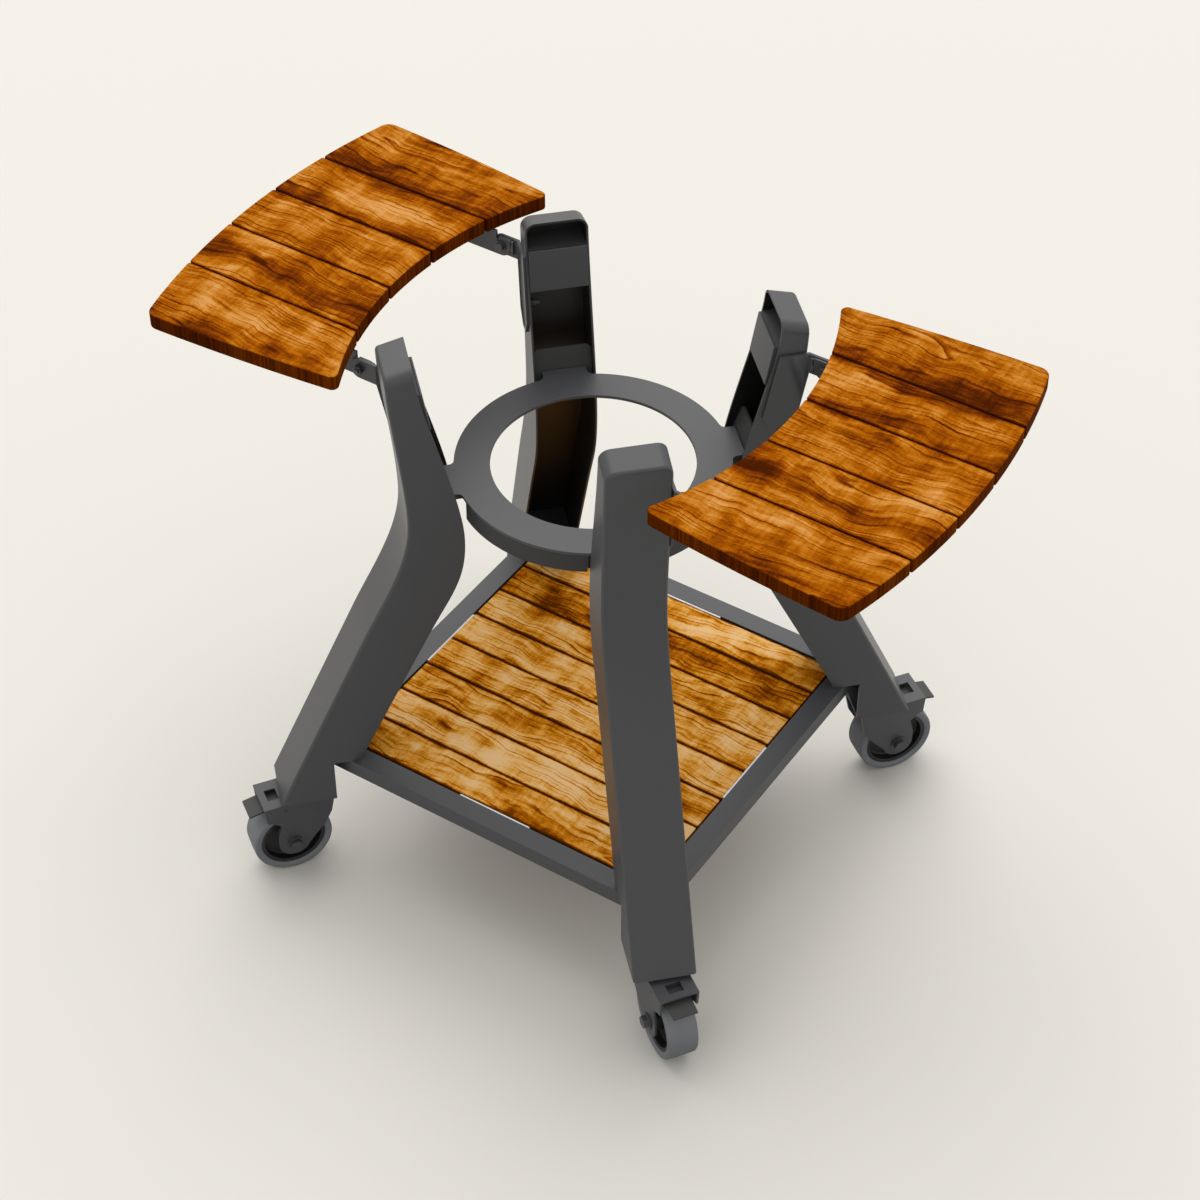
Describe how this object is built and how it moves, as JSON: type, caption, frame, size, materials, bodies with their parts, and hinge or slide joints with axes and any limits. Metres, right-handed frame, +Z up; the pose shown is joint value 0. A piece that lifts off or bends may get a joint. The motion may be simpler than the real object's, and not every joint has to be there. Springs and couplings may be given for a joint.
{
  "type": "kamado stand",
  "caption": "Wheeled stand for a kamado cooker: curved open-backed steel legs, cradle ring, slatted wooden deck and curved fold-down side shelves.",
  "frame": {"origin": "on the floor under the centre of the cradle ring", "axes": "+Z up, +X towards the right-hand shelf, -Y towards the front"},
  "size_m": [0.88, 0.6094, 0.7055],
  "materials": {
    "coated_steel": "fine-textured anthracite powder coat",
    "dark_steel": "fine-textured black-grey powder coat",
    "fasteners": "black-oxide steel",
    "board_wood": "oiled, strongly figured hardwood",
    "batten_wood": "plain sawn hardwood",
    "edge_nylon": "pale nylon",
    "grey_tyre": "grey soft tread",
    "black_core": "moulded black plastic"
  },
  "bodies": {
    "stand": {"leg_back_right": "coated_steel", "leg_back_left": "coated_steel", "leg_front_left": "coated_steel", "leg_front_right": "coated_steel", "foot_plates": "dark_steel", "tie_plates": "dark_steel", "pad_brackets": "dark_steel", "support_pads": "coated_steel", "ring_plate": "coated_steel", "ring_skirt": "dark_steel", "ring_brackets": "dark_steel", "ring_nuts": "fasteners", "tray_frame": "coated_steel", "tray_ledges": "coated_steel", "tray_corner_plates": "coated_steel", "tray_bolts": "fasteners", "deck_boards": "board_wood", "deck_battens": "batten_wood", "deck_edge_strips": "edge_nylon", "deck_screws": "fasteners", "shelf_bracket_back_right": "coated_steel", "shelf_bracket_back_left": "coated_steel", "shelf_bracket_front_left": "coated_steel", "shelf_bracket_front_right": "coated_steel", "bracket_nuts": "fasteners", "caster_kingpins": "fasteners", "kingpin_nuts": "fasteners"},
    "right_shelf": {"right_shelf_boards": "board_wood", "right_shelf_rails": "dark_steel", "right_shelf_arms": "coated_steel", "right_shelf_pivot_bolts": "fasteners", "right_shelf_screws": "fasteners"},
    "left_shelf": {"left_shelf_boards": "board_wood", "left_shelf_rails": "dark_steel", "left_shelf_arms": "coated_steel", "left_shelf_pivot_bolts": "fasteners", "left_shelf_screws": "fasteners"},
    "caster_back_right_swivel": {"caster_back_right_fork": "coated_steel", "caster_back_right_axle": "fasteners"},
    "caster_back_right_wheel": {"caster_back_right_core": "black_core", "caster_back_right_tyre": "grey_tyre"},
    "caster_back_right_brake": {"caster_back_right_pedal": "dark_steel"},
    "caster_back_left_swivel": {"caster_back_left_fork": "coated_steel", "caster_back_left_axle": "fasteners"},
    "caster_back_left_wheel": {"caster_back_left_core": "black_core", "caster_back_left_tyre": "grey_tyre"},
    "caster_back_left_brake": {"caster_back_left_pedal": "dark_steel"},
    "caster_front_left_swivel": {"caster_front_left_fork": "coated_steel", "caster_front_left_axle": "fasteners"},
    "caster_front_left_wheel": {"caster_front_left_core": "black_core", "caster_front_left_tyre": "grey_tyre"},
    "caster_front_left_brake": {"caster_front_left_pedal": "dark_steel"},
    "caster_front_right_swivel": {"caster_front_right_fork": "coated_steel", "caster_front_right_axle": "fasteners"},
    "caster_front_right_wheel": {"caster_front_right_core": "black_core", "caster_front_right_tyre": "grey_tyre"},
    "caster_front_right_brake": {"caster_front_right_pedal": "dark_steel"}
  },
  "joints": [
    {"name": "right_shelf_fold", "type": "hinge", "parent": "stand", "child": "right_shelf", "pos_m": [0.20051, 0, 0.654], "axis": [0, 1, 0], "range_deg": [0, 90]},
    {"name": "left_shelf_fold", "type": "hinge", "parent": "stand", "child": "left_shelf", "pos_m": [-0.20051, 0, 0.654], "axis": [0, -1, 0], "range_deg": [0, 90]},
    {"name": "caster_back_right_swivel_turn", "type": "hinge", "parent": "stand", "child": "caster_back_right_swivel", "pos_m": [0.23497, 0.23497, 0.0466], "axis": [0, 0, 1], "continuous": true},
    {"name": "caster_back_right_wheel_spin", "type": "hinge", "parent": "caster_back_right_swivel", "child": "caster_back_right_wheel", "pos_m": [0.25053, 0.25753, 0.0466], "axis": [-0.8231, 0.5678, 0], "continuous": true},
    {"name": "caster_back_right_brake_press", "type": "hinge", "parent": "caster_back_right_swivel", "child": "caster_back_right_brake", "pos_m": [0.25428, 0.26296, 0.1015], "axis": [-0.8231, 0.5678, 0], "range_deg": [0, 5]},
    {"name": "caster_back_left_swivel_turn", "type": "hinge", "parent": "stand", "child": "caster_back_left_swivel", "pos_m": [-0.23497, 0.23497, 0.0466], "axis": [0, 0, 1], "continuous": true},
    {"name": "caster_back_left_wheel_spin", "type": "hinge", "parent": "caster_back_left_swivel", "child": "caster_back_left_wheel", "pos_m": [-0.25753, 0.25053, 0.0466], "axis": [-0.5678, -0.8231, 0], "continuous": true},
    {"name": "caster_back_left_brake_press", "type": "hinge", "parent": "caster_back_left_swivel", "child": "caster_back_left_brake", "pos_m": [-0.26296, 0.25428, 0.1015], "axis": [-0.5678, -0.8231, 0], "range_deg": [0, 5]},
    {"name": "caster_front_left_swivel_turn", "type": "hinge", "parent": "stand", "child": "caster_front_left_swivel", "pos_m": [-0.23497, -0.23497, 0.0466], "axis": [0, 0, 1], "continuous": true},
    {"name": "caster_front_left_wheel_spin", "type": "hinge", "parent": "caster_front_left_swivel", "child": "caster_front_left_wheel", "pos_m": [-0.25053, -0.25753, 0.0466], "axis": [0.8231, -0.5678, 0], "continuous": true},
    {"name": "caster_front_left_brake_press", "type": "hinge", "parent": "caster_front_left_swivel", "child": "caster_front_left_brake", "pos_m": [-0.25428, -0.26296, 0.1015], "axis": [0.8231, -0.5678, 0], "range_deg": [0, 5]},
    {"name": "caster_front_right_swivel_turn", "type": "hinge", "parent": "stand", "child": "caster_front_right_swivel", "pos_m": [0.23497, -0.23497, 0.0466], "axis": [0, 0, 1], "continuous": true},
    {"name": "caster_front_right_wheel_spin", "type": "hinge", "parent": "caster_front_right_swivel", "child": "caster_front_right_wheel", "pos_m": [0.25753, -0.25053, 0.0466], "axis": [0.5678, 0.8231, 0], "continuous": true},
    {"name": "caster_front_right_brake_press", "type": "hinge", "parent": "caster_front_right_swivel", "child": "caster_front_right_brake", "pos_m": [0.26296, -0.25428, 0.1015], "axis": [0.5678, 0.8231, 0], "range_deg": [0, 5]}
  ]
}
